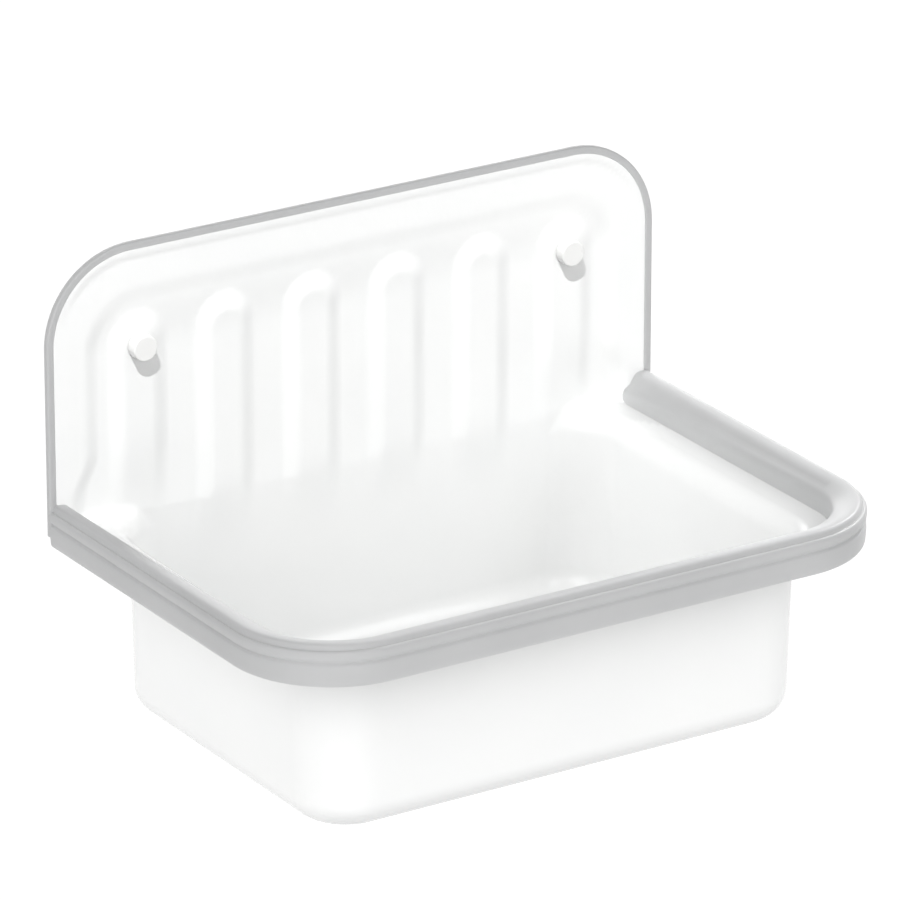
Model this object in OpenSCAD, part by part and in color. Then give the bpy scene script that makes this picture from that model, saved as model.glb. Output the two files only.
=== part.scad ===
// Enamelled steel utility sink with a ribbed splashback, hung on two wall bolts.
// The origin is on the wall, midway between the two bolts. +Z is up and the bowl stands out along -Y.

/* [Overall] */
// Width over the rim bumper
sink_w = 510; // [470:1:560]
// Depth from the wall to the front of the rim bumper
sink_d = 338; // [310:1:380]
// Height of the splashback above the rim
splash_above_rim = 188; // [170:1:230]
// Drop from the rim to the ledge round the bowl
ledge_drop = 19; // [15:0.5:24]
// Drop from the rim to the underside of the bowl
bowl_drop = 161; // [130:1:190]

/* [Sheet steel] */
// Thickness of the enamelled sheet
sheet_t = 2; // [1.5:0.1:2.5]

/* [Splashback] */
// Radius of the two top corners
splash_r = 69; // [50:1:90]
// Gap between the wall and the back of the border
border_gap = 3; // [2.6:0.1:4]
// Width of the border on either side of the recessed field
side_border_w = 33; // [28:1:40]
// Width of the border above the recessed field
top_border_w = 40; // [28:1:46]
// Radius of the field's top corners
field_r = 38; // [25:1:50]
// Width by which the field flares out on either side, down to the ledge
flare_out = 12; // [9:1:15]
// Height above the rim at which the flare starts
flare_above_rim = 36; // [20:1:50]

/* [Ribs] */
// Number of ribs, an even number
rib_count = 6; // [4:2:6]
// Distance from the field's side to the centre of an outer rib
rib_inset = 42; // [34:1:48]
// Width of a rib at its foot
rib_foot_w = 46; // [40:1:50]
// Width of a rib at its crest
rib_crest_w = 28; // [24:1:32]
// Height of a rib above the field
rib_h = 5; // [3.5:0.1:6]
// Distance from the top of the field to the tops of the ribs
rib_top_gap = 14; // [8:1:20]
// Height above the rim at which the two outer ribs end
outer_rib_end = 0; // [-4:1:10]
// Drop below the rim at which the inner ribs end
inner_rib_drop = 70; // [55:1:90]

/* [Bowl] */
// Outer width of the bowl
bowl_w = 410; // [390:1:420]
// Depth from the wall to the outside of the bowl's front
bowl_d = 295; // [270:1:300]
// Outer radius of the bowl's upright corners
bowl_r = 42; // [36:1:50]
// Outer radius round the bowl's bottom edge
bottom_r = 20; // [14:1:26]
// Radius of the shoulder between the ledge and the bowl's wall
shoulder_r = 15; // [10:0.5:16]
// Distance from the rim's outside to the upstand that holds the bumper
upstand_inset = 12; // [10:0.5:13]
// Height of the upstand above the ledge
upstand_h = 11; // [8:0.5:12]

/* [Rim bumper] */
// Outer radius of the bumper's two front corners
bumper_r = 80; // [72:1:90]
// Width of the bumper's section
bumper_w = 26; // [24:0.5:28]
// Height of the bumper's crown above the rim
crown_h = 2; // [1:0.1:3]
// Drop from the rim to the bumper's shoulder
shoulder_z = 8; // [6:0.1:9]
// Drop from the rim to the bumper's lower edge
bumper_drop = 27.5; // [25:0.5:32]
// Width of the bumper's outer leg below the ledge
outer_leg_w = 9; // [7:0.5:9.5]
// Chamfer at the foot of the bumper's outer face
foot_chamfer = 1.5; // [0.5:0.1:2.5]
// Radius from the bumper's outer face up to its crown
crown_out_r = 5; // [3:0.5:7]
// Radius from the crown down towards the bowl
crown_in_r = 8; // [6:0.5:9]
// Distance from the rim's outside to the bumper's shoulder
shoulder_x = 17.5; // [16:0.5:19]
// Radius round the bumper's inner edge
inner_r = 4; // [3:0.5:5]
// Drop from the bumper's shoulder to the top of its inner edge
inner_step = 0.5; // [0:0.1:1]
// Drop from the rim to the upper groove
groove_1_drop = 1.5; // [1:0.1:2.5]
// Drop from the rim to the lower groove
groove_2_drop = 10.5; // [8:0.1:14]
// Depth of the grooves
groove_depth = 0.8; // [0.5:0.1:1.2]

/* [Edge trim] */
// Width of the trim, seen from the front
trim_w = 5.8; // [5:0.1:8]
// Depth of the trim, front to back
trim_d = 5.5; // [4.5:0.1:6.5]
// Depth of the trim's slot over the sheet
trim_slot = 3.8; // [2.5:0.1:4.2]
// Clearance of the trim and the bumper on the sheet
grip_gap = 0.1; // [0.05:0.05:0.2]

/* [Wall fixings] */
// Distance from the tops of the ribs down to the wall bolts
fix_drop = 24; // [23:1:40]
// Diameter of the hanger bolts' wood thread
bolt_d = 8; // [6:1:8]
// Radial step from the wood thread's crests down to the middle of the machine thread's flanks
thread_step = 0.4; // [0.25:0.05:0.6]
// Gap between the wall face and the start of the wood thread
thread_start = 0.5; // [0.3:0.1:1]
// Radial clearance of a nut on its thread
thread_gap = 0.05; // [0.02:0.01:0.1]
// Radial clearance of the bushes in the sheet, and of the bolts in bushes and washers
bush_gap = 0.15; // [0.1:0.05:0.3]
// Length of a hanger bolt behind the wall face
bolt_wall_l = 50; // [40:1:70]
// Outer diameter of a bush's barrel
bush_d = 12; // [11:0.5:13]
// Diameter of a bush's flange
bush_flange_d = 16; // [15:0.5:16]
// Thickness of a bush's flange
bush_flange_t = 0.8; // [0.6:0.1:1]
// Diameter of the washers
washer_d = 15; // [14:0.5:16]
// Thickness of the washers
washer_t = 1; // [0.8:0.1:1.2]
// Width across the flats of the nuts
nut_af = 13; // [10:0.5:13]
// Height of the nuts
nut_h = 4; // [3:0.1:4.5]
// Length of bolt that stands out of a nut
bolt_end = 1; // [0:0.1:1.5]
// Outer diameter of the screw caps
cap_d = 19.2; // [19:0.1:21]
// Length of the screw caps
cap_l = 9; // [8.5:0.1:12]
// Wall of the screw caps
cap_wall = 1.2; // [1:0.1:1.3]
// Radius round the front edge of the screw caps
cap_r = 1.1; // [0.5:0.1:1.1]

/* [Waste] */
// Distance from the wall to the waste's axis
waste_y = 150; // [120:1:180]
// Diameter of the sunk seat in the bowl's floor
seat_d = 80; // [78:1:90]
// Depth of the sunk seat
seat_drop = 3; // [2:0.1:5]
// Diameter of the waste flange
flange_d = 70; // [68:1:74]
// Thickness of the waste flange at its rim
flange_t = 2; // [1.5:0.1:3]
// Width of the flange's bevel
flange_bevel = 4; // [2:0.5:6]
// Radius, as a chamfer, at the mouth of the waste
mouth_chamfer = 1; // [0.5:0.1:1.5]
// Outer diameter of the waste's threaded tail
tail_d = 47.8; // [45:0.1:48]
// Radial step from the free thread's crests down to the middle of its flanks inside the lock nut
neck_step = 0.6; // [0.4:0.05:0.8]
// Bore of the tail
tail_bore = 40; // [38:0.5:41]
// Thickness of the throat's wall above the plug's seat
lip_wall = 0.9; // [0.7:0.1:1.2]
// Drop from the flange to the seat of the plug's seal
seat_step = 2; // [1.5:0.1:3]
// Drop from the flange to the underside of the plug's guide
guide_drop = 24; // [20:1:30]
// Height of the plug's guide
guide_h = 8; // [6:0.5:12]
// Wall of the guide's hub
hub_wall = 3; // [2:0.1:4]
// Width of the guide's bars
bar_w = 3; // [2:0.1:4]
// Length of the tail below the flange
tail_l = 48; // [44:1:56]
// Radial gap between the tail and what it passes through
tail_gap = 0.5; // [0.3:0.1:1]
// Thickness of the gasket under the flange
gasket_t = 1.5; // [1:0.1:2.5]
// Distance that the gasket lies inside the flange's edge
gasket_inset = 1; // [0.5:0.1:2]
// Distance that the gasket lies outside the hole in the bowl
gasket_hole_gap = 2; // [1:0.1:3]
// Outer diameter of the rings under the floor
under_d = 68; // [64:1:72]
// Thickness of the rubber ring under the floor
under_t = 4; // [3:0.5:5]
// Thickness of the slip washer
slip_t = 1.5; // [1:0.1:2]
// Outer diameter of the lock nut
lock_d = 70; // [66:1:76]
// Height of the lock nut
lock_h = 10; // [8:0.5:14]
// Height of the lock nut's round collar
lock_collar_h = 5; // [3:0.5:6]
// Radial step from the collar in to the nut's corners
lock_step = 2; // [1:0.5:3]

/* [Plug] */
// Radial gap between the plug and the throat it sits in
plug_gap = 1; // [0.5:0.1:1.5]
// Thickness of the plug's disc
plug_t = 2; // [1.5:0.1:3]
// Diameter of the plug's guide stem
stem_d = 8; // [6:0.1:9]
// Radial running clearance of the stem in its guide
stem_gap = 0.06; // [0.02:0.01:0.09]
// Length of stem still in its guide with the plug lifted
stem_hold = 3; // [2:0.5:5]
// Lift of the plug
plug_lift = 10; // [6:1:12]
// Radial width of the plug's seal
seal_w = 3; // [2:0.1:4]
// Distance that the seal lies inside the edge of the plug's disc
seal_inset = 0.5; // [0.2:0.1:1]
// Diameter of the knob's foot
knob_foot_d = 8; // [6:0.5:12]
// Radius round the top of the knob
knob_r = 2; // [1:0.5:3]
// Height of the knob's crown
knob_crown = 1; // [0:0.1:1]
// Diameter of the plug's knob
knob_d = 16; // [12:0.5:20]
// Height of the plug's knob
knob_h = 12; // [9:0.5:14]
// Gap between the seal and its seat with the plug down
seal_gap = 0.3; // [0.2:0.05:0.5]

/* [Hidden] */
$fn = 64;
eps = 0.01;

// Depth by which the bowl's round rear corners are cut off at the wall plane
back_cut = 1.5;

field_w = sink_w - 2 * side_border_w;
flare_w = field_w + 2 * flare_out;
rib_pitch = (field_w - 2 * rib_inset) / (rib_count - 1);

rim_z = fix_drop + rib_top_gap + top_border_w - splash_above_rim;
ledge_z = rim_z - ledge_drop;
weld_z = ledge_z - sheet_t;
splash_top = rim_z + splash_above_rim;
field_top = splash_top - top_border_w;
rib_top = field_top - rib_top_gap;
bowl_z = rim_z - bowl_drop;
floor_z = bowl_z + sheet_t;

border_front = border_gap + sheet_t;
crest_front = rib_h + sheet_t;
fix_x = (rib_count - 1) * rib_pitch / 2;
rib_slope = (rib_foot_w - rib_crest_w) / 2 / rib_h;

trim_front = border_gap + sheet_t / 2 + trim_d / 2;
bumper_start = trim_front;

seat_z = floor_z - seat_drop;
seat_under = seat_z - sheet_t;
hole_d = tail_d + 2 * tail_gap;
flange_z = seat_z + gasket_t;
tail_z = flange_z - tail_l;
neck_d = tail_d - 2 * neck_step;
lip_d = neck_d - 2 * lip_wall;
plug_d = lip_d - 2 * plug_gap;
hub_d = stem_d + 2 * hub_wall;
guide_z = flange_z - guide_drop;
lock_z = seat_under - under_t - slip_t - lock_h;
neck_z = lock_z - thread_start;
thread_d = bolt_d - 2 * thread_step;
plug_z = flange_z + seal_gap;
stem_z = guide_z + guide_h - stem_hold - plug_lift;

// Points of an arc in a section, from angle a0 to a1
function arc(cx, cy, r, a0, a1, n = 6) =
    [for (i = [0:n]) [cx + r * cos(a0 + (a1 - a0) * i / n), cy + r * sin(a0 + (a1 - a0) * i / n)]];

// Upright sheet outline with two round corners at the top
module arched(half_w, z0, z1, r) {
    translate([-half_w, z0]) square([2 * half_w, z1 - r - z0]);
    translate([-half_w + r, z0]) square([2 * (half_w - r), z1 - z0]);
    for (x = [-half_w + r, half_w - r])
        translate([x, z1 - r]) circle(r);
}

// Stands a front-view drawing on the wall: y0 is its distance from the wall, t its thickness
module on_wall(y0, t) {
    translate([0, -y0, 0]) rotate([90, 0, 0]) linear_extrude(t) children();
}

// Carries a section round the left, front and right of the sink
// The section's x is its distance from the centre of the front corners, whose radius is r
module round_three_sides(half_w, front, back, r) {
    run = front - r - back;
    for (side = [0, 1])
        mirror([side, 0, 0]) {
            translate([half_w - r, -back, 0]) rotate([90, 0, 0]) linear_extrude(run) children();
            translate([half_w - r, -front + r, 0]) rotate([0, 0, -90]) rotate_extrude(angle = 90) children();
        }
    translate([half_w - r, -front + r, 0]) rotate([0, 0, -90]) rotate([90, 0, 0])
        linear_extrude(2 * (half_w - r)) children();
}

// Carries a section round all four sides, with the back against the wall
module round_four_sides(half_w, front, r) {
    round_three_sides(half_w, front, r, r) children();
    for (side = [0, 1])
        mirror([side, 0, 0])
            translate([half_w - r, -r, 0]) rotate_extrude(angle = 90) children();
    translate([-half_w + r, -r, 0]) rotate([0, 0, 90]) rotate([90, 0, 0])
        linear_extrude(2 * (half_w - r)) children();
}

// Outline of the recessed field, grown outwards by g
module field_outline(g = 0) {
    flare_z = rim_z + flare_above_rim;
    arched(field_w / 2 + g, flare_z, field_top + g, field_r + g);
    polygon([
        [-flare_w / 2 - g, weld_z], [flare_w / 2 + g, weld_z], [flare_w / 2 + g, rim_z],
        [field_w / 2 + g, flare_z + eps], [-field_w / 2 - g, flare_z + eps], [-flare_w / 2 - g, rim_z]
    ]);
}

// One rib, or its hollow: foot is its distance from the wall
module rib(x, z_low, z_high, foot) {
    half = rib_foot_w / 2;
    crest = rib_crest_w / 2;
    translate([x, 0, z_low + half])
        linear_extrude(z_high - z_low - rib_foot_w)
            polygon([[-half, -foot], [-crest, -foot - rib_h], [crest, -foot - rib_h], [half, -foot]]);
    for (z = [z_low + half, z_high - half])
        translate([x, -foot, z]) rotate([90, 0, 0]) cylinder(r1 = half, r2 = crest, h = rib_h);
}

// All the ribs, or their hollows
module ribs(foot) {
    for (i = [0:rib_count - 1]) {
        outer = i == 0 || i == rib_count - 1;
        low = outer ? rim_z + outer_rib_end : rim_z - inner_rib_drop;
        rib((i - (rib_count - 1) / 2) * rib_pitch, low, rib_top, foot);
    }
}

// Everything above, or below, the weld between splashback and bowl
module above_weld() {
    translate([-sink_w, -sink_d, weld_z]) cube([2 * sink_w, 2 * sink_d, sink_d]);
}

module below_weld() {
    translate([-sink_w, -sink_d, weld_z - sink_d]) cube([2 * sink_w, 2 * sink_d, sink_d]);
}

// Places children on the axis of each wall bolt, with +Z pointing out of the wall
module at_bolts(y0 = 0) {
    for (x = [-fix_x, fix_x])
        translate([x, -y0, 0]) rotate([90, 0, 0]) children();
}

module splashback() {
    color("white") difference() {
        union() {
            on_wall(border_gap, sheet_t) difference() {
                arched(sink_w / 2 - trim_w + trim_slot, weld_z, splash_top - trim_w + trim_slot,
                       splash_r - trim_w + trim_slot);
                field_outline();
            }
            on_wall(0, border_front) difference() {
                field_outline(sheet_t);
                field_outline();
            }
            on_wall(0, sheet_t) field_outline(eps);
            intersection() {
                ribs(sheet_t);
                above_weld();
            }
        }
        ribs(0);
        at_bolts() cylinder(d = bush_d + 2 * bush_gap, h = crest_front + 1);
    }
}

// Filled half section of the bowl, g inside its outer face, from a corner's centre to the wall
module bowl_section(g, top) {
    r = bottom_r - g;
    polygon(concat(
        [[0, bowl_z + g]],
        arc(bowl_r - bottom_r, bowl_z + bottom_r, r, -90, 0, 8),
        arc(bowl_r - sheet_t + shoulder_r, ledge_z - shoulder_r, shoulder_r - sheet_t + g, 180, 90, 8),
        [[bowl_r - sheet_t + shoulder_r, top], [0, top]]
    ));
}

// Filled bowl, g inside its outer face, cut off flat at the back by the plane y = -g
module bowl_solid(g, top) {
    half = bowl_w / 2 - bowl_r;
    difference() {
        translate([0, back_cut, 0]) union() {
            round_four_sides(bowl_w / 2, bowl_d + back_cut, bowl_r) bowl_section(g, top);
            translate([-half, -bowl_d - back_cut + bowl_r, bowl_z + g])
                cube([2 * half, bowl_d + back_cut - 2 * bowl_r, top - bowl_z - g]);
        }
        translate([-sink_w, -g, bowl_z - 1]) cube([2 * sink_w, sink_d, bowl_drop]);
    }
}

// Outline of the ledge, g inside its edge, back to the distance y0 from the wall
module ledge_outline(g, y0) {
    half = sink_w / 2 - upstand_inset;
    front = sink_d - upstand_inset;
    r = bumper_r - upstand_inset;
    translate([-half + g, -front + r]) square([2 * (half - g), front - r - y0]);
    translate([-half + r, -front + g]) square([2 * (half - r), front - g - y0]);
    for (x = [-half + r, half - r])
        translate([x, -front + r]) circle(r - g);
}

module ledge_plate() {
    translate([0, 0, weld_z]) linear_extrude(sheet_t) {
        ledge_outline(0, border_front);
        translate([-flare_w / 2, -border_front - eps]) square([flare_w, border_front - sheet_t + eps]);
    }
    // Upstand that the rim bumper is pushed over
    translate([0, 0, ledge_z]) linear_extrude(upstand_h) difference() {
        ledge_outline(0, bumper_start);
        ledge_outline(sheet_t, bumper_start - 1);
    }
}

module bowl() {
    color("white") difference() {
        union() {
            difference() {
                union() {
                    ledge_plate();
                    bowl_solid(0, weld_z);
                    translate([0, -waste_y, seat_under])
                        cylinder(d = seat_d + 2 * sheet_t, h = seat_drop + sheet_t);
                }
                bowl_solid(sheet_t, ledge_z + 1);
                translate([0, -waste_y, seat_z]) cylinder(d = seat_d, h = seat_drop + 1);
            }
            intersection() {
                ribs(sheet_t);
                below_weld();
            }
        }
        ribs(0);
        translate([0, -waste_y, seat_under - 1]) cylinder(d = hole_d, h = sheet_t + 2);
    }
}

module rim_bumper() {
    slot_in = upstand_inset + sheet_t + grip_gap;
    section = concat(
        [[foot_chamfer, -bumper_drop], [0, -bumper_drop + foot_chamfer]],
        [[0, -groove_2_drop - groove_depth], [groove_depth, -groove_2_drop]],
        [[0, -groove_2_drop + groove_depth]],
        [[0, -groove_1_drop - groove_depth], [groove_depth, -groove_1_drop]],
        arc(crown_out_r, crown_h - crown_out_r, crown_out_r, 165, 90),
        arc(crown_in_r, crown_h - crown_in_r, crown_in_r, 90, 45),
        [[shoulder_x, -shoulder_z]],
        arc(bumper_w - inner_r, -shoulder_z - inner_step - inner_r, inner_r, 90, 0),
        [[bumper_w, -ledge_drop], [outer_leg_w, -ledge_drop], [outer_leg_w, -bumper_drop]]
    );
    color("silver") round_three_sides(sink_w / 2, sink_d, bumper_start, bumper_r) difference() {
        polygon([for (p = section) [bumper_r - p[0], rim_z + p[1]]]);
        translate([bumper_r - slot_in, weld_z])
            square([sheet_t + 2 * grip_gap, upstand_h + sheet_t + grip_gap]);
    }
}

module edge_trim() {
    edge = sink_w / 2 - trim_w + trim_slot;
    color("silver") difference() {
        on_wall(trim_front - trim_d, trim_d) difference() {
            arched(sink_w / 2, weld_z, splash_top, splash_r);
            arched(sink_w / 2 - trim_w, weld_z - 1, splash_top - trim_w, splash_r - trim_w);
        }
        on_wall(border_gap - grip_gap, sheet_t + 2 * grip_gap)
            arched(edge + grip_gap, weld_z - 1, splash_top - sink_w / 2 + edge + grip_gap,
                   splash_r - sink_w / 2 + edge + grip_gap);
    }
}

module fixing_bushes() {
    color("silver") at_bolts() difference() {
        union() {
            cylinder(d = bush_d, h = crest_front);
            translate([0, 0, crest_front]) cylinder(d = bush_flange_d, h = bush_flange_t);
        }
        translate([0, 0, -1]) cylinder(d = bolt_d + 2 * bush_gap, h = crest_front + bush_flange_t + 2);
    }
}

module hanger_bolts() {
    reach = crest_front + bush_flange_t + washer_t + nut_h + bolt_end;
    color("gray") {
        at_bolts(-bolt_wall_l) cylinder(d = bolt_d, h = bolt_wall_l - thread_start);
        at_bolts(-thread_start) cylinder(d = thread_d, h = reach + thread_start);
    }
}

module fixing_washers() {
    color("gray") at_bolts(crest_front + bush_flange_t) difference() {
        cylinder(d = washer_d, h = washer_t);
        translate([0, 0, -1]) cylinder(d = bolt_d + 2 * bush_gap, h = washer_t + 2);
    }
}

module fixing_nuts() {
    color("gray") at_bolts(crest_front + bush_flange_t + washer_t) difference() {
        cylinder(d = nut_af / cos(30), h = nut_h, $fn = 6);
        translate([0, 0, -1]) cylinder(d = thread_d + 2 * thread_gap, h = nut_h + 2);
    }
}

module screw_caps() {
    outer = cap_d / 2;
    color("white") at_bolts(crest_front) rotate_extrude() polygon(concat(
        [[0, cap_l]],
        arc(outer - cap_r, cap_l - cap_r, cap_r, 90, 0),
        [[outer, 0], [outer - cap_wall, 0], [outer - cap_wall, cap_l - cap_wall], [0, cap_l - cap_wall]]
    ));
}

module waste_body() {
    lip = lip_d / 2;
    color("silver") translate([0, -waste_y, 0]) {
        rotate_extrude() polygon([
            [flange_d / 2, flange_z], [flange_d / 2, flange_z + flange_t * 0.4],
            [flange_d / 2 - flange_bevel, flange_z + flange_t], [lip + mouth_chamfer, flange_z + flange_t],
            [lip, flange_z + flange_t - mouth_chamfer], [lip, flange_z - seat_step],
            [tail_bore / 2, flange_z - seat_step], [tail_bore / 2, tail_z], [tail_d / 2, tail_z],
            [tail_d / 2, neck_z], [neck_d / 2, neck_z], [neck_d / 2, flange_z]
        ]);
        difference() {
            union() {
                translate([0, 0, guide_z]) cylinder(d = hub_d, h = guide_h);
                for (a = [0, 90])
                    rotate([0, 0, a]) translate([-tail_bore / 2 - 1, -bar_w / 2, guide_z])
                        cube([tail_bore + 2, bar_w, guide_h]);
            }
            translate([0, 0, guide_z - 1]) cylinder(d = stem_d + 2 * stem_gap, h = guide_h + 2);
        }
    }
}

// Flat ring round the waste's axis
module waste_ring(z, outer_d, inner_d, h) {
    translate([0, -waste_y, z]) difference() {
        cylinder(d = outer_d, h = h);
        translate([0, 0, -1]) cylinder(d = inner_d, h = h + 2);
    }
}

module flange_gasket() {
    color("dimgray")
        waste_ring(seat_z, flange_d - 2 * gasket_inset, hole_d + 2 * gasket_hole_gap, gasket_t);
}

module under_gasket() {
    color("dimgray") waste_ring(seat_under - under_t, under_d, hole_d, under_t);
}

module slip_washer() {
    color("white") waste_ring(seat_under - under_t - slip_t, under_d, hole_d, slip_t);
}

module lock_nut() {
    bore = neck_d + 2 * thread_gap;
    hex_h = lock_h - lock_collar_h;
    color("silver") {
        waste_ring(lock_z + hex_h, lock_d - 2 * lock_step, bore, lock_collar_h);
        translate([0, -waste_y, lock_z]) difference() {
            cylinder(d = lock_d - 4 * lock_step, h = hex_h, $fn = 8);
            translate([0, 0, -1]) cylinder(d = bore, h = hex_h + 2);
        }
    }
}

module plug_disc() {
    color("silver") translate([0, -waste_y, 0]) {
        translate([0, 0, plug_z]) cylinder(d = plug_d, h = plug_t);
        translate([0, 0, stem_z]) cylinder(d = stem_d, h = plug_z + 1 - stem_z);
    }
}

module plug_seal() {
    outer = plug_d - 2 * seal_inset;
    color("dimgray") waste_ring(plug_z - seat_step, outer, outer - 2 * seal_w, seat_step);
}

module plug_knob() {
    color("silver") translate([0, -waste_y, plug_z + plug_t]) rotate_extrude() polygon(concat(
        [[0, 0], [knob_foot_d / 2, 0], [knob_foot_d / 2, knob_h / 2]],
        arc(knob_d / 2 - knob_r, knob_h - knob_crown - knob_r, knob_r, -60, 90),
        [[0, knob_h]]
    ));
}

bowl();
splashback();
rim_bumper();
edge_trim();
fixing_bushes();
hanger_bolts();
fixing_washers();
fixing_nuts();
screw_caps();
waste_body();
flange_gasket();
under_gasket();
slip_washer();
lock_nut();
plug_disc();
plug_seal();
plug_knob();
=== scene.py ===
"""White enamelled steel utility sink with a ribbed splashback and a grey rim bumper.

Sizes below are in millimetres, in the same frame as the solids: the origin is on the wall between the two
bolts, +X right, +Z up, and the bowl stands out along -Y. Meshes are scaled to metres as they are made.
"""
import math

import bpy
import numpy as np
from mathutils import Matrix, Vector


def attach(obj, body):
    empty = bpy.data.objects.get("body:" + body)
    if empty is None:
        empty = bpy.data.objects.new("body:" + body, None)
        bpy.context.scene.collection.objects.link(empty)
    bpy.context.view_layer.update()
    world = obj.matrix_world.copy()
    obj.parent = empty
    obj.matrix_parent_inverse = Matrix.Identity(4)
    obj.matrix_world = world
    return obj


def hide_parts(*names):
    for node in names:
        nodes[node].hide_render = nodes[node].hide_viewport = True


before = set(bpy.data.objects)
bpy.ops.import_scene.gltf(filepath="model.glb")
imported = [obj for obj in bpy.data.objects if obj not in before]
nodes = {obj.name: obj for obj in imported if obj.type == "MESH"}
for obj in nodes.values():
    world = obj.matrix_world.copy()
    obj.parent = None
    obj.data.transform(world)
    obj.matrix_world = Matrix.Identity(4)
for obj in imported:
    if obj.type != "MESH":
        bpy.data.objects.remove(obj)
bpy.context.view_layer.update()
scene = bpy.context.scene

MM = 0.001
RIM = -110.0

# Camera

AZIMUTH, ELEVATION, DISTANCE = 32.24, 21.78, 5580.06
LENS, SENSOR = 316.2, 36
AIM = Vector((-11.14, -150.0, RIM + 42.54))


def add_camera():
    az, el = math.radians(AZIMUTH), math.radians(ELEVATION)
    look = Vector((math.sin(az) * math.cos(el), math.cos(az) * math.cos(el), -math.sin(el)))
    data = bpy.data.cameras.new("camera")
    data.sensor_width = SENSOR
    data.lens = LENS
    data.clip_start = 0.1
    data.clip_end = 100
    camera = bpy.data.objects.new("camera", data)
    camera.location = (AIM - look * DISTANCE) * MM
    camera.rotation_euler = look.to_track_quat("-Z", "Y").to_euler()
    scene.collection.objects.link(camera)
    scene.camera = camera


add_camera()

# Finishes

# A noise is mostly between these values
NOISE_LOW, NOISE_HIGH = 0.3, 0.7


def new_finish(name):
    """A new material with its node tree, its shader and the place on the object."""
    made = bpy.data.materials.new(name)
    made.use_nodes = True
    tree = made.node_tree
    shader = tree.nodes["Principled BSDF"]
    place = tree.nodes.new("ShaderNodeTexCoord")
    return made, tree, shader, place.outputs["Object"]


def noise(tree, place, scale, detail=3.0):
    made = tree.nodes.new("ShaderNodeTexNoise")
    made.inputs["Scale"].default_value = scale
    made.inputs["Detail"].default_value = detail
    made.inputs["Roughness"].default_value = 0.5
    tree.links.new(place, made.inputs["Vector"])
    return made.outputs["Fac"]


def between(tree, value, low, high):
    """Spreads a noise's middle values over low to high."""
    made = tree.nodes.new("ShaderNodeMapRange")
    limits = {"From Min": NOISE_LOW, "From Max": NOISE_HIGH, "To Min": low, "To Max": high}
    for label, number in limits.items():
        made.inputs[label].default_value = number
    tree.links.new(value, made.inputs["Value"])
    return made.outputs[0]


def tint(tree, value, dark, light, shader):
    """Colours the shader from dark to light with a noise."""
    ramp = tree.nodes.new("ShaderNodeValToRGB")
    ramp.color_ramp.elements[0].position = NOISE_LOW
    ramp.color_ramp.elements[1].position = NOISE_HIGH
    ramp.color_ramp.elements[0].color = (*dark, 1)
    ramp.color_ramp.elements[1].color = (*light, 1)
    tree.links.new(value, ramp.inputs[0])
    tree.links.new(ramp.outputs[0], shader.inputs["Base Color"])


def bump(tree, height, shader, distance, strength=1.0):
    made = tree.nodes.new("ShaderNodeBump")
    made.inputs["Distance"].default_value = distance
    made.inputs["Strength"].default_value = strength
    tree.links.new(height, made.inputs["Height"])
    tree.links.new(made.outputs[0], shader.inputs["Normal"])


def enamel_finish():
    made, tree, shader, place = new_finish("white_vitreous_enamel")
    tint(tree, noise(tree, place, 9, 2), (0.835, 0.84, 0.837), (0.855, 0.858, 0.853), shader)
    gloss = between(tree, noise(tree, place, 40), 0.16, 0.24)
    tree.links.new(gloss, shader.inputs["Roughness"])
    # Faint orange peel of the fired coat
    bump(tree, noise(tree, place, 260, 1), shader, 60e-6, 0.6)
    shader.inputs["IOR"].default_value = 1.5
    return made


def plastic_finish(name, dark, light, rough, grain, depth):
    made, tree, shader, place = new_finish(name)
    tint(tree, noise(tree, place, 14, 4), dark, light, shader)
    gloss = between(tree, noise(tree, place, 60), rough - 0.05, rough + 0.05)
    tree.links.new(gloss, shader.inputs["Roughness"])
    bump(tree, noise(tree, place, grain, 2), shader, depth)
    shader.inputs["IOR"].default_value = 1.48
    return made


def metal_finish(name, dark, light, rough, grain, depth):
    made, tree, shader, place = new_finish(name)
    shader.inputs["Metallic"].default_value = 1.0
    tint(tree, noise(tree, place, 30, 4), dark, light, shader)
    gloss = between(tree, noise(tree, place, 120), rough * 0.8, rough * 1.25)
    tree.links.new(gloss, shader.inputs["Roughness"])
    bump(tree, noise(tree, place, grain, 2), shader, depth)
    return made


ENAMEL = enamel_finish()
# Each has its darkest and lightest colour, its roughness, and how fine and how deep its grain is
SOFT_GREY = plastic_finish("soft_grey_profile", (0.66, 0.664, 0.668), (0.70, 0.704, 0.708), 0.42, 900, 20e-6)
BUSH_GREY = plastic_finish("grey_bush", (0.38, 0.385, 0.39), (0.42, 0.425, 0.43), 0.5, 800, 30e-6)
CAP_WHITE = plastic_finish("white_cap", (0.77, 0.77, 0.76), (0.80, 0.80, 0.79), 0.3, 700, 10e-6)
RING_WHITE = plastic_finish("white_ring", (0.76, 0.75, 0.71), (0.8, 0.79, 0.75), 0.45, 700, 30e-6)
RUBBER = plastic_finish("black_rubber", (0.015, 0.015, 0.016), (0.024, 0.024, 0.025), 0.7, 1200, 60e-6)
CHROME = metal_finish("bright_chrome", (0.62, 0.63, 0.65), (0.68, 0.69, 0.71), 0.09, 300, 4e-6)
ZINC = metal_finish("zinc_plate", (0.5, 0.51, 0.53), (0.62, 0.63, 0.65), 0.34, 700, 20e-6)
BRASS = metal_finish("raw_brass", (0.52, 0.36, 0.13), (0.62, 0.45, 0.18), 0.3, 500, 20e-6)

# Enamelled steel

# The front of the enamelled sheet is found as the surface where air() is zero. Its thickness is behind that
SHEET = 2.0
HALF_WIDTH, RIM_DEPTH = 255.0, 338.0
RIM_CORNER, SPLASH_CORNER = 80, 69
SPLASH_TOP = RIM + 188
LEDGE = RIM - 19
FLOOR = RIM - 161 + SHEET

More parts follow.
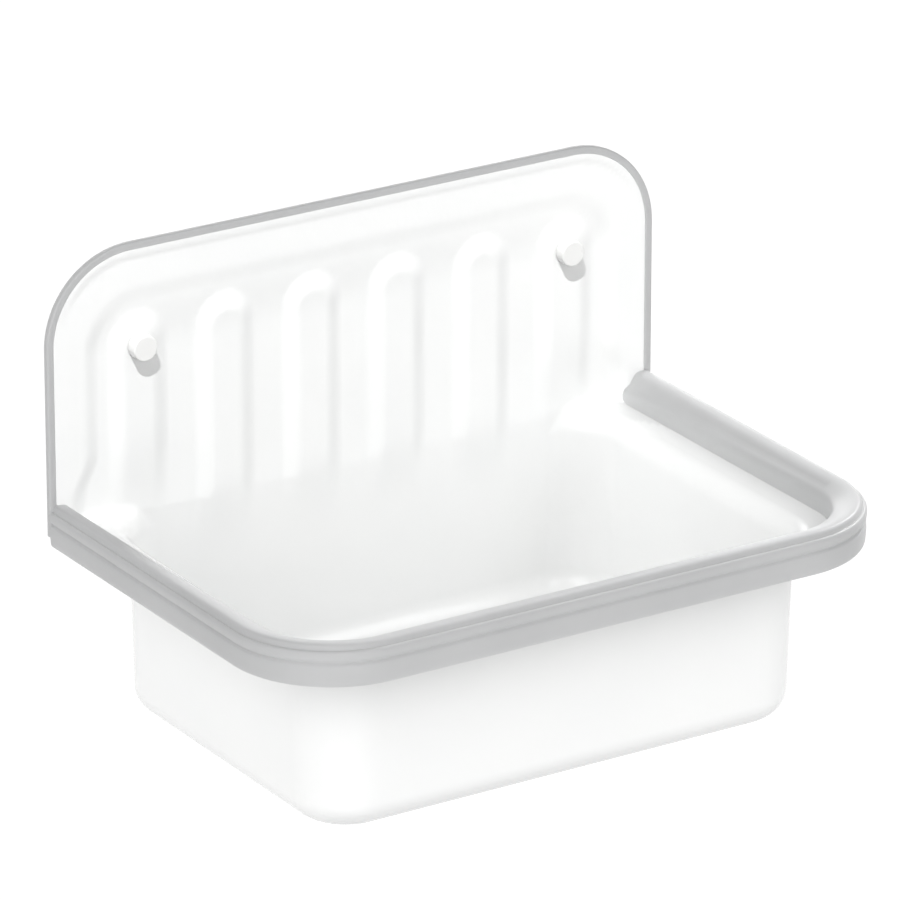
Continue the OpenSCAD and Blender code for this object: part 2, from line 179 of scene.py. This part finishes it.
# How far the splashback's field and its border stand off the wall, and the width of the slope between them
FIELD, BORDER, FIELD_SLOPE = 2.0, 5.0, 14
FIELD_HALF, FIELD_TOP, FIELD_CORNER = 218, RIM + 148, 38
# The field widens at its foot by the flare, which starts at its top and is full after its fall
FLARE, FLARE_TOP, FLARE_FALL = 12, RIM + 38, 42
# Towards its top the field grows shallow, from this far above the rim and over this stretch
SHALLOW_FROM, SHALLOW_OVER, SHALLOW_BY = 105, 40, 0.7
# Inside the trim the splashback's edge stands proud, in a band of this width with a soft side
EDGE_RISE, RISE_WIDTH, RISE_SIDE = 0.8, 14.5, 6.5
# The rise comes in from this far above the rim and over this stretch
RISE_FROM, RISE_OVER = 130, 42

# Each rib runs out at its foot, and fades over the length that is given with it
RIB_COUNT, RIB_PITCH, RIB_HEIGHT = 6, 72.0, 4.2
RIB_TOP = RIM + 134
RIB_FOOT, RIB_FADE = RIM - 70, 75
OUTER_RIB_FOOT, OUTER_RIB_FADE = RIM - 40, 95
# Half its width, the width of its sloping side, and the radius of its round ends
RIB_HALF, RIB_SIDE, RIB_END = 26, 16, 23

# The bowl's walls close in by the taper, from the ledge down
BOWL_HALF, BOWL_REACH, BOWL_CORNER = 203, 293, 40
TAPER, TAPER_FALL = 3, 141
FLOOR_FILLET, LEDGE_ROUND = 18, 15
# From inside the bumper's lip, and over this width, the ledge slopes down towards the bowl
LEDGE_SLOPE, LEDGE_FROM, LEDGE_WIDTH = 0.16, 24, 14
# Beside the bowl the splashback meets the ledge in a fillet, which grows from this far out
FOOT_FILLET, FOOT_FROM, FOOT_OVER, FOOT_HEIGHT = 11, 166, 22, 40
# Elsewhere they meet in a corner this near to sharp
SHARP = 0.2
# The splashback and the bowl are welded at this height
WELD = LEDGE + 1.5

# The waste sits in a sunk seat in the floor
WASTE_Y = -150.0
WASTE_HOLE = 24.4
SEAT_RADIUS, SEAT_DEPTH, SEAT_SLOPE = 46, 3, 6

# How far the sheet's edge is inside the profiles' outer faces
TRIM_COVER, BUMPER_COVER = 2.6, 12


def step(t):
    """Smooth step from 0 to 1."""
    t = np.clip(t, 0, 1)
    return t * t * t * (t * (6 * t - 15) + 10)


def rounded(px, py, half_x, half_y, r):
    """Distance outside a rectangle with round corners."""
    qx, qy = np.abs(px) - half_x + r, np.abs(py) - half_y + r
    outside = np.hypot(np.maximum(qx, 0), np.maximum(qy, 0))
    return outside + np.minimum(np.maximum(qx, qy), 0) - r


def arch(x, z, half, top, r):
    """Distance outside an upright panel with two round top corners and its foot far below."""
    reach = 400
    return rounded(x, z - (top - reach), half, reach, r)


def round_out(a, b, r):
    """Air in both a and b, with an inside corner of radius r."""
    return np.maximum(r, np.minimum(a, b)) - np.hypot(np.maximum(r - a, 0), np.maximum(r - b, 0))


def round_over(a, b, r):
    """Air in either a or b, with an outside edge of radius r."""
    return np.minimum(-r, np.maximum(a, b)) + np.hypot(np.maximum(r + a, 0), np.maximum(r + b, 0))


def soft_min(a, b, k):
    """The smaller of a and b, blended where they are nearer to each other than k."""
    h = np.maximum(k - np.abs(a - b), 0) / k
    return np.minimum(a, b) - h * h * k / 4


def ease(t):
    """Gentler smooth step from 0 to 1."""
    t = np.clip(t, 0, 1)
    return t * t * (3 - 2 * t)


def relief(x, z):
    """How far the splashback's front stands off the wall."""
    flare = FLARE * step((FLARE_TOP - z) / FLARE_FALL)
    inside = -arch(x * FIELD_HALF / (FIELD_HALF + flare), z, FIELD_HALF, FIELD_TOP, FIELD_CORNER)
    near_top = ease((z - RIM - SHALLOW_FROM) / SHALLOW_OVER)
    sunk = (FIELD - BORDER) * ease((inside + FIELD_SLOPE / 2) / FIELD_SLOPE)
    out = BORDER + sunk * (1 - SHALLOW_BY * near_top)
    # The edge's rise dies away round the corners
    in_from_edge = -arch(x, z, HALF_WIDTH, SPLASH_TOP, SPLASH_CORNER)
    out += EDGE_RISE * ease((RISE_WIDTH - in_from_edge) / RISE_SIDE) * ease((z - RIM - RISE_FROM) / RISE_OVER)
    ribs = np.zeros_like(out)
    for i in range(RIB_COUNT):
        centre = (i - (RIB_COUNT - 1) / 2) * RIB_PITCH
        outer = i in (0, RIB_COUNT - 1)
        low, fade = (OUTER_RIB_FOOT, OUTER_RIB_FADE) if outer else (RIB_FOOT, RIB_FADE)
        along = np.clip(z, low + RIB_END, RIB_TOP - RIB_END)
        d = np.hypot(x - centre, z - along)
        height = RIB_HEIGHT * ease((RIB_HALF - d) / RIB_SIDE) * step((z - low) / fade)
        ribs = np.maximum(ribs, height)
    return out + ribs


def air(p):
    """The space in front of the splashback and above the bowl and its ledge."""
    x, y, z = p[..., 0], p[..., 1], p[..., 2]
    stands = relief(x, z)
    front = -y - stands
    taper = TAPER * np.clip((LEDGE - z) / TAPER_FALL, 0, 1)
    reach = BOWL_REACH - taper
    walls = -rounded(x, y + (reach + stands) / 2, BOWL_HALF - taper, (reach - stands) / 2, BOWL_CORNER)
    from_waste = np.hypot(x, y - WASTE_Y)
    floor = FLOOR - SEAT_DEPTH * step((SEAT_RADIUS - from_waste) / SEAT_SLOPE)
    bowl = round_out(walls, z - floor, FLOOR_FILLET)
    inset = -rounded(x, y + RIM_DEPTH / 2, HALF_WIDTH, RIM_DEPTH / 2, RIM_CORNER)
    ledge = LEDGE - LEDGE_SLOPE * np.clip(inset - LEDGE_FROM, 0, LEDGE_WIDTH)
    tray = round_over(z - ledge, bowl, LEDGE_ROUND)
    # The splashback runs straight down into the bowl, so the fillet is beside it only
    beside = step((np.abs(x) - FOOT_FROM) / FOOT_OVER)
    near_ledge = step((z - LEDGE + FOOT_HEIGHT) / FOOT_HEIGHT)
    return soft_min(front, tray, SHARP + FOOT_FILLET * beside * near_ledge)


def edge(p):
    """Positive outside the sheet's edges: the splashback's outline, the ledge's rim and the waste hole."""
    x, y, z = p[..., 0], p[..., 1], p[..., 2]
    panel = arch(x, z, HALF_WIDTH - TRIM_COVER, SPLASH_TOP - TRIM_COVER, SPLASH_CORNER - TRIM_COVER)
    # The rim's outline widens near the wall and runs on behind it, so that it leaves the splashback whole
    front, behind = RIM_DEPTH - BUMPER_COVER, 200
    widened = 14 * step((y + 17) / 11)
    rim = rounded(x, y + (front - behind) / 2, HALF_WIDTH - BUMPER_COVER, (front + behind) / 2,
                  RIM_CORNER - BUMPER_COVER) - widened
    # Away from the floor there is no hole, and its field reads as well inside the sheet
    hole = np.where(z < FLOOR + 5, WASTE_HOLE - np.hypot(x, y - WASTE_Y), -50)
    return np.maximum(np.maximum(panel, rim), hole)


def slope(field, p, h=0.2):
    """How fast the field grows along each axis."""
    out = np.empty_like(p)
    for axis in range(3):
        d = np.zeros(3)
        d[axis] = h
        out[:, axis] = (field(p + d) - field(p - d)) / (2 * h)
    return out


def settle(field, p):
    """Moves points onto the place where the field is zero."""
    g = slope(field, p)
    # This limit keeps the move short where the field is flat
    steepness = np.maximum((g * g).sum(1), 0.05)
    return p - field(p)[:, None] * g / steepness[:, None]


def skin(field, low, high, h):
    """Quads on the zero surface of a field, one vertex in each cell that it crosses."""
    axes = [np.arange(a, b + h, h) for a, b in zip(low, high)]
    grid = np.stack(np.meshgrid(*axes, indexing="ij"), -1)
    value = np.stack([field(slab) for slab in grid])
    solid = value < 0
    cells = tuple(n - 1 for n in solid.shape)
    total, count = np.zeros(cells + (3,)), np.zeros(cells)

    def shifted(a, offset):
        return a[tuple(slice(o, o + n) for o, n in zip(offset, cells))]

    for axis in range(3):
        for i in (0, 1):
            for j in (0, 1):
                start = [0, 0, 0]
                others = [k for k in range(3) if k != axis]
                start[others[0]], start[others[1]] = i, j
                end = list(start)
                end[axis] = 1
                a, b = shifted(value, start), shifted(value, end)
                cross = (a < 0) != (b < 0)
                t = np.where(cross, a / np.where(cross, a - b, 1), 0)
                place = shifted(grid, start).copy()
                place[..., axis] += t * h
                total += place * cross[..., None]
                count += cross
    used = count > 0
    index = np.full(cells, -1)
    index[used] = np.arange(used.sum())
    points = total[used] / count[used][:, None]
    quads = []
    for axis in range(3):
        others = [k for k in range(3) if k != axis]
        a = [slice(1, n - 1) for n in solid.shape]
        b = list(a)
        a[axis], b[axis] = slice(0, solid.shape[axis] - 1), slice(1, solid.shape[axis])
        near, far = solid[tuple(a)], solid[tuple(b)]
        where = np.argwhere(near != far)
        turn = near[near != far]
        where[:, others[0]] += 1
        where[:, others[1]] += 1
        corner = []
        for i, j in ((0, 0), (1, 0), (1, 1), (0, 1)):
            c = where.copy()
            c[:, others[0]] -= i
            c[:, others[1]] -= j
            corner.append(index[c[:, 0], c[:, 1], c[:, 2]])
        quad = np.stack(corner, 1)
        flip = ~turn if axis != 1 else turn
        quad[flip] = quad[flip][:, ::-1]
        quads.append(quad)
    return points, np.concatenate(quads)


def compact(points, faces):
    """Keeps only the points that the faces use."""
    used, faces = np.unique(faces, return_inverse=True)
    return points[used], faces.reshape(-1, 4)


def spread(points, faces, fixed, field, rounds):
    """Evens out the points along the surface."""
    sides = np.concatenate([faces[:, [i, (i + 1) % 4]] for i in range(4)])
    sides = np.concatenate([sides, sides[:, ::-1]])
    weight = np.bincount(sides[:, 0], minlength=len(points))[:, None]
    for _ in range(rounds):
        total = [np.bincount(sides[:, 0], points[sides[:, 1], axis], len(points)) for axis in range(3)]
        mean = np.stack(total, 1) / weight
        moved = np.where(fixed[:, None], points, 0.5 * points + 0.5 * mean)
        points = settle(field, moved)
        points[fixed] = moved[fixed]
    return points


def make_object(name, points, faces, smooth=True):
    data = bpy.data.meshes.new(name)
    data.from_pydata((np.asarray(points) * MM).tolist(), [], np.asarray(faces).tolist())
    data.update()
    if smooth:
        data.shade_smooth()
    else:
        data.shade_flat()
    made = bpy.data.objects.new(name, data)
    scene.collection.objects.link(made)
    return made


def bake(obj):
    """Turns an object with its modifiers into a plain mesh."""
    bpy.context.view_layer.update()
    mesh = bpy.data.meshes.new_from_object(obj.evaluated_get(bpy.context.evaluated_depsgraph_get()))
    obj.modifiers.clear()
    old = obj.data
    obj.data = mesh
    mesh.name = obj.name
    bpy.data.meshes.remove(old)
    return obj


def true_normals(obj, field):
    """Shades the sheet by the slope of its own surface, so that its two parts meet without a line."""
    mesh = obj.data
    place = np.empty(len(mesh.vertices) * 3)
    mesh.vertices.foreach_get("co", place)
    place = place.reshape(-1, 3) / MM
    lean = slope(field, place)
    lean /= np.maximum(np.linalg.norm(lean, axis=1), 1e-6)[:, None]
    lean[field(place) < -SHEET / 2] *= -1
    mesh.normals_split_custom_set_from_vertices(lean.tolist())


def thickened(name, points, faces):
    """Makes a sheet of steel from its front surface."""
    points, faces = compact(points, faces)
    sheet = make_object(name, points, faces)
    sheet.data.materials.append(ENAMEL)
    thick = sheet.modifiers.new("thickness", "SOLIDIFY")
    thick.thickness = SHEET * MM
    thick.offset = -1
    thick.use_even_offset = True
    thick.thickness_clamp = 0.9
    bake(sheet)
    true_normals(sheet, air)
    return sheet


def enamelled_sheet():
    """Makes the splashback and the bowl from one surface, parted where they are welded."""
    cell = 3.2
    # The grid reaches a little past the sheet on all sides
    low = (-HALF_WIDTH - 6, -RIM_DEPTH - 7, FLOOR - 12)
    high = (HALF_WIDTH + 6, 9, SPLASH_TOP + 9)
    points, faces = skin(air, low, high, cell)
    for _ in range(3):
        points = settle(air, points)
    centre = points[faces].mean(1)
    points, faces = compact(points, faces[edge(centre) < 0])
    sides = np.sort(np.concatenate([faces[:, [i, (i + 1) % 4]] for i in range(4)]), 1)
    pairs, times = np.unique(sides, axis=0, return_counts=True)
    rim = np.zeros(len(points), bool)
    rim[pairs[times == 1].ravel()] = True
    # The open edges are drawn onto the true outlines, then the points between are evened out
    for _ in range(4):
        onto = settle(edge, points[rim])
        near = np.linalg.norm(onto - points[rim], axis=1) < 2.5 * cell
        points[rim] = np.where(near[:, None], onto, points[rim])
        points[rim] = settle(air, points[rim])
    points = spread(points, faces, rim, air, 12)
    above = points[faces].mean(1)[:, 2] > WELD
    upper = thickened("splashback_sheet", points, faces[above])
    lower = thickened("bowl_sheet", points, faces[~above])
    return upper, lower


splashback, bowl = enamelled_sheet()
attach(splashback, "sink")
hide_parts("splashback")
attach(bowl, "sink")
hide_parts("bowl")


# Soft grey profiles

CORNER_STEPS = 28
# Edges between faces that meet at more than this angle, in degrees, show as sharp
SHARP_ANGLE = 38


def arc(cx, cy, r, a0, a1, n):
    """Points round a centre from one angle to another, in degrees."""
    turns = np.radians(np.linspace(a0, a1, n + 1))
    return [(cx + r * math.cos(a), cy + r * math.sin(a)) for a in turns]


def sweep_tree(name):
    """Carries the object's own outline along a path with two round corners."""
    tree = bpy.data.node_groups.new(name, "GeometryNodeTree")
    face = tree.interface
    face.new_socket("Outline", in_out="INPUT", socket_type="NodeSocketGeometry")
    for label in ("Half width", "Start", "End", "Corner radius"):
        face.new_socket(label, in_out="INPUT", socket_type="NodeSocketFloat")
    face.new_socket("Corner steps", in_out="INPUT", socket_type="NodeSocketInt")
    face.new_socket("Turn", in_out="INPUT", socket_type="NodeSocketVector")
    face.new_socket("Finish", in_out="INPUT", socket_type="NodeSocketMaterial")
    face.new_socket("Profile", in_out="OUTPUT", socket_type="NodeSocketGeometry")
    new, link = tree.nodes.new, tree.links.new
    given, out = new("NodeGroupInput"), new("NodeGroupOutput")
    minus = new("ShaderNodeMath")
    minus.operation = "MULTIPLY"
    minus.inputs[1].default_value = -1
    link(given.outputs["Half width"], minus.inputs[0])
    path = new("GeometryNodeCurvePrimitiveQuadrilateral")
    path.mode = "POINTS"
    left, right = minus.outputs[0], given.outputs["Half width"]
    for i, (side, level) in enumerate(((left, "Start"), (left, "End"), (right, "End"), (right, "Start"))):
        point = new("ShaderNodeCombineXYZ")
        link(side, point.inputs[0])
        link(given.outputs[level], point.inputs[1])
        link(point.outputs[0], path.inputs[f"Point {i + 1}"])
    opened = new("GeometryNodeSetSplineCyclic")
    opened.inputs["Cyclic"].default_value = False
    link(path.outputs[0], opened.inputs[0])
    fillet = new("GeometryNodeFilletCurve")
    fillet.mode = "POLY"
    link(opened.outputs[0], fillet.inputs["Curve"])
    link(given.outputs["Corner steps"], fillet.inputs["Count"])
    link(given.outputs["Corner radius"], fillet.inputs["Radius"])
    upright = new("GeometryNodeSetCurveNormal")
    upright.mode = "Z_UP"
    link(fillet.outputs[0], upright.inputs["Curve"])
    outline = new("GeometryNodeMeshToCurve")
    link(given.outputs["Outline"], outline.inputs["Mesh"])
    swept = new("GeometryNodeCurveToMesh")
    link(upright.outputs[0], swept.inputs["Curve"])
    link(outline.outputs[0], swept.inputs["Profile Curve"])
    swept.inputs["Fill Caps"].default_value = True
    turned = new("GeometryNodeTransform")
    link(swept.outputs[0], turned.inputs["Geometry"])
    link(given.outputs["Turn"], turned.inputs["Rotation"])
    real = new("GeometryNodeRealizeInstances")
    link(turned.outputs[0], real.inputs[0])
    finish = new("GeometryNodeSetMaterial")
    link(real.outputs[0], finish.inputs["Geometry"])
    link(given.outputs["Finish"], finish.inputs["Material"])
    link(finish.outputs[0], out.inputs[0])
    return tree


SWEEP = sweep_tree("carry_section_round")


def swept_profile(name, outline, values, finish):
    """Sweeps a closed outline round the path that the values give."""
    n = len(outline)
    data = bpy.data.meshes.new(name)
    data.from_pydata([(u * MM, v * MM, 0) for u, v in outline], [(i, (i + 1) % n) for i in range(n)], [])
    made = bpy.data.objects.new(name, data)
    scene.collection.objects.link(made)
    carry = made.modifiers.new("carry", "NODES")
    carry.node_group = SWEEP
    sockets = {s.name: s.identifier for s in SWEEP.interface.items_tree if s.item_type == "SOCKET"}
    for label, value in values.items():
        carry[sockets[label]] = value
    carry[sockets["Finish"]] = finish
    bake(made)
    made.data.shade_smooth()
    made.data.set_sharp_from_angle(angle=math.radians(SHARP_ANGLE))
    return made


# The bumper's section: inset from the outer face, then height above the rim
BUMPER = [
    # Outer face, up to the groove
    (4.4, -29.1), (2.8, -28.9), (1.4, -28.1), (0.4, -26.6), (0.0, -24.6), (-0.2, -21.5), (-0.3, -18),
    (-0.25, -14.5),
    # Groove
    (0, -12.9), (0.5, -12.0), (1.3, -11.5), (1.6, -11), (1.5, -10.4), (0.9, -9.9), (0.2, -9.3),
    # Bead, and the valley above it
    (-0.4, -8), (-0.7, -6.3), (-0.75, -4.8), (-0.5, -3.5), (0.0, -2.5), (0.7, -1.9), (1.5, -1.8), (2.2, -1.9),
    # Crown
    (2.7, -1.3), (3.0, -0.2), (3.4, 0.9), (4.2, 1.9), (5.4, 2.4), (7, 2.5), (9, 2.4), (11, 2.1), (13, 1.5),
    # Slope down to the inner lip
    (15, 0.7), (17, -0.2), (19, -1.2), (21, -2.2), (22.6, -3.1), (23.8, -4.1), (24.8, -5.5), (25.4, -7.3),
    (25.5, -9.5), (25.5, -12), (25.5, -15), (25.5, -18.9),
    # Foot on the ledge, and the back of the outer skirt
    (9, -18.9), (8.6, -20.5), (8, -27.1), (6.8, -28.8),
]
# Its ends stop short of the wall, and there its inner lip dips by this much
BUMPER_END = -6.8
LIP_DIP = 5.4


def rim_bumper():
    outline = [(-u, -v - RIM) for u, v in reversed(BUMPER)]
    made = swept_profile("rim_bumper_profile", outline, {
        "Half width": HALF_WIDTH * MM, "Start": BUMPER_END * MM, "End": -RIM_DEPTH * MM,
        "Corner radius": RIM_CORNER * MM, "Corner steps": CORNER_STEPS, "Turn": (0.0, 0.0, 0.0)}, SOFT_GREY)
    for point in made.data.vertices:
        x, y, z = point.co / MM
        near_wall = ease((y + 46) / 38)
        inward = ease((242 - abs(x)) / 7)
        above_foot = ease((z - RIM + 19) / 9)
        point.co.z -= LIP_DIP * (near_wall * inward * above_foot) * MM
    return made


bumper = rim_bumper()
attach(bumper, "sink")
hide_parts("rim_bumper")


def edge_trim():
    # Its section: inset from the outer edge, then distance along Y, with a slot that takes the sheet
    front_lip = arc(1.6, -5.15, 1.6, 180, 270, 5) + arc(4.6, -5.55, 1.2, 270, 360, 5)
    slot = [(5.8, -5.25), (2.2, -5.1), (2.2, -2.9), (5.8, -2.75)]
    back_lip = arc(4.6, -2.45, 1.2, 0, 90, 5) + arc(1.6, -2.85, 1.6, 90, 180, 5)
    return swept_profile("edge_trim_profile", front_lip + slot + back_lip, {
        "Half width": HALF_WIDTH * MM, "Start": (LEDGE - SHEET) * MM, "End": SPLASH_TOP * MM,
        "Corner radius": SPLASH_CORNER * MM, "Corner steps": CORNER_STEPS, "Turn": (math.pi / 2, 0.0, 0.0)},
        SOFT_GREY)


trim = edge_trim()
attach(trim, "sink")
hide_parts("edge_trim")

# Solids that keep their shape

FINISH = {
    "fixing_bushes": BUSH_GREY, "hanger_bolts": ZINC, "fixing_washers": ZINC, "fixing_nuts": ZINC,
    "screw_caps": CAP_WHITE, "waste_body": CHROME, "flange_gasket": RUBBER, "under_gasket": RUBBER,
    "slip_washer": RING_WHITE, "lock_nut": BRASS, "plug_disc": CHROME, "plug_seal": RUBBER,
    "plug_knob": CHROME,
}
for name, finish in FINISH.items():
    for holder in nodes[name].material_slots:
        holder.material = finish

# Studio

AMBIENT = 0.25
FLOOR_LEVEL, FLOOR_HALF = -960, 12000
# How wide a lamp looks from the sink, in degrees
CRISP, FIRM, SOFT, WIDEST = 0.8, 15, 60, 70


def see_white(tree, white, otherwise):
    """Shows one shader to the camera and in reflections, and another to the rest."""
    path = tree.nodes.new("ShaderNodeLightPath")
    seen = None
    for label in ("Is Camera Ray", "Is Glossy Ray", "Is Transmission Ray"):
        if seen is None:
            seen = path.outputs[label]
            continue
        most = tree.nodes.new("ShaderNodeMath")
        most.operation = "MAXIMUM"
        tree.links.new(seen, most.inputs[0])
        tree.links.new(path.outputs[label], most.inputs[1])
        seen = most.outputs[0]
    mix = tree.nodes.new("ShaderNodeMixShader")
    tree.links.new(seen, mix.inputs[0])
    tree.links.new(otherwise, mix.inputs[1])
    tree.links.new(white, mix.inputs[2])
    return mix.outputs[0]


def add_world():
    world = bpy.data.worlds.new("studio")
    world.use_nodes = True
    scene.world = world
    tree = world.node_tree
    soft = tree.nodes["Background"]
    soft.inputs["Color"].default_value = (1, 1, 1, 1)
    soft.inputs["Strength"].default_value = AMBIENT
    white = tree.nodes.new("ShaderNodeBackground")
    white.inputs["Color"].default_value = (1, 1, 1, 1)
    seen = see_white(tree, white.outputs[0], soft.outputs[0])
    tree.links.new(seen, tree.nodes["World Output"].inputs["Surface"])


def add_floor():
    made = bpy.data.materials.new("pale_floor")
    made.use_nodes = True
    tree = made.node_tree
    shader = tree.nodes["Principled BSDF"]
    shader.inputs["Base Color"].default_value = (0.8, 0.8, 0.8, 1)
    shader.inputs["Roughness"].default_value = 0.9
    white = tree.nodes.new("ShaderNodeEmission")
    white.inputs["Strength"].default_value = 1.2
    half = tree.nodes.new("ShaderNodeMixShader")
    half.inputs[0].default_value = 0.7
    tree.links.new(shader.outputs[0], half.inputs[1])
    tree.links.new(white.outputs[0], half.inputs[2])
    seen = see_white(tree, half.outputs[0], shader.outputs[0])
    tree.links.new(seen, tree.nodes["Material Output"].inputs["Surface"])
    corners = [(x * FLOOR_HALF, y * FLOOR_HALF, FLOOR_LEVEL) for x, y in ((-1, -1), (1, -1), (1, 1), (-1, 1))]
    floor = make_object("floor", corners, [(0, 1, 2, 3)], False)
    floor.data.materials.append(made)


def named_group(name, objects):
    made = bpy.data.collections.new(name)
    for one in objects:
        made.objects.link(one)
    return made


def add_light(name, travels, angle, strength, lit, blockers=None):
    """A lamp far away that lights one group of pieces, as a studio flag or a reflector would."""
    data = bpy.data.lights.new(name, "SUN")
    data.energy = strength
    data.angle = math.radians(angle)
    lamp = bpy.data.objects.new(name, data)
    lamp.rotation_euler = Vector(travels).to_track_quat("-Z", "Y").to_euler()
    scene.collection.objects.link(lamp)
    lamp.light_linking.receiver_collection = lit
    if blockers:
        lamp.light_linking.blocker_collection = blockers


def add_lights():
    upper = named_group("lit_on_the_panel", [splashback, nodes["screw_caps"]])
    grey = named_group("lit_on_the_grey", [bumper, trim])
    rim = named_group("lit_on_the_rim", [bumper])
    meshes = [part for part in bpy.data.objects if part.type == "MESH"]
    lit_apart = (splashback, nodes["screw_caps"], bumper, trim)
    below = named_group("lit_below", [part for part in meshes if part not in lit_apart])
    caps = named_group("caps_in_key_light", [nodes["screw_caps"]])
    backs = named_group("lit_from_behind", [part for part in meshes if part.name != "floor"])
    from_left, from_right, from_front = (0.85, 0.3, -0.45), (-0.5, 0.65, -0.55), (0.25, 0.95, -0.2)
    from_key = (0.365, 0.469, -0.807)
    # The key is crisp under the caps, and the rest of the studio light is soft
    add_light("key", from_key, CRISP, 3.15, upper, caps)
    add_light("panel_right", from_right, SOFT, 0.5, upper)
    add_light("panel_front", from_front, SOFT, 0.6, upper)
    add_light("bowl_left", from_left, SOFT, 2.09, below)
    add_light("bowl_right", (-0.4, 0.72, -0.52), SOFT, 1.83, below)
    add_light("bowl_top", from_key, SOFT, 0.18, below)
    add_light("grey_left", from_left, SOFT, 0.42, grey)
    add_light("grey_front", from_front, SOFT, 0.95, grey)
    add_light("grey_top", (0.05, 0.15, -1), WIDEST, 0.38, grey)
    add_light("rim_low_right", (-0.7, -0.4, -0.6), FIRM, 1.7, rim)
    add_light("behind", (-0.2, -0.97, 0), SOFT, 1.6, backs)


add_world()
add_floor()
add_lights()
scene.view_settings.view_transform = "Standard"
